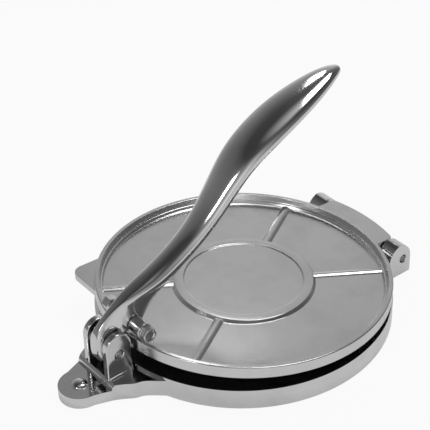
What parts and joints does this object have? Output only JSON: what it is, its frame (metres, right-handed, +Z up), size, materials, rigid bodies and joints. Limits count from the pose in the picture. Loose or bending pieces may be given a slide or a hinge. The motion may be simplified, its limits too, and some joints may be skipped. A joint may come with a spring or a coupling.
{
  "type": "tortilla press",
  "caption": "Round cast press: a lower plate with a nose and ears, a hinged upper plate with a raised pad, and a curved lever whose rollers push the upper plate's rim down.",
  "frame": {"origin": "centre of the base disc, on the surface that the press stands on", "axes": "+Z up, +Y from the lever's pivot towards the plate hinge, +X towards the side where the bolt's hexagon head is"},
  "size_m": [0.201, 0.2633, 0.1588],
  "materials": {
    "cast_aluminium": "polished casting",
    "steel": "bright"
  },
  "bodies": {
    "base": {"base_casting": "cast_aluminium", "lever_pivot_pin": "steel", "hinge_pin": "steel", "pivot_washer_near": "steel", "pivot_washer_far": "steel"},
    "plate": {"top_plate": "cast_aluminium"},
    "handle": {"lever": "cast_aluminium", "presser_bolt": "steel", "presser_nut": "steel", "presser_roller_near": "steel", "presser_roller_far": "steel"}
  },
  "joints": [
    {"name": "lever_pivot", "type": "hinge", "parent": "base", "child": "handle", "pos_m": [0, -0.111, 0.0279], "axis": [1, 0, 0], "range_deg": [-32, 126]},
    {"name": "plate_hinge", "type": "hinge", "parent": "base", "child": "plate", "pos_m": [0, 0.1084, 0.0127], "axis": [-1, 0, 0], "range_deg": [-2.8, 105]}
  ],
  "couplings": [
    {"joint": "plate_hinge", "follows": "lever_pivot", "ratio": 0.079}
  ]
}
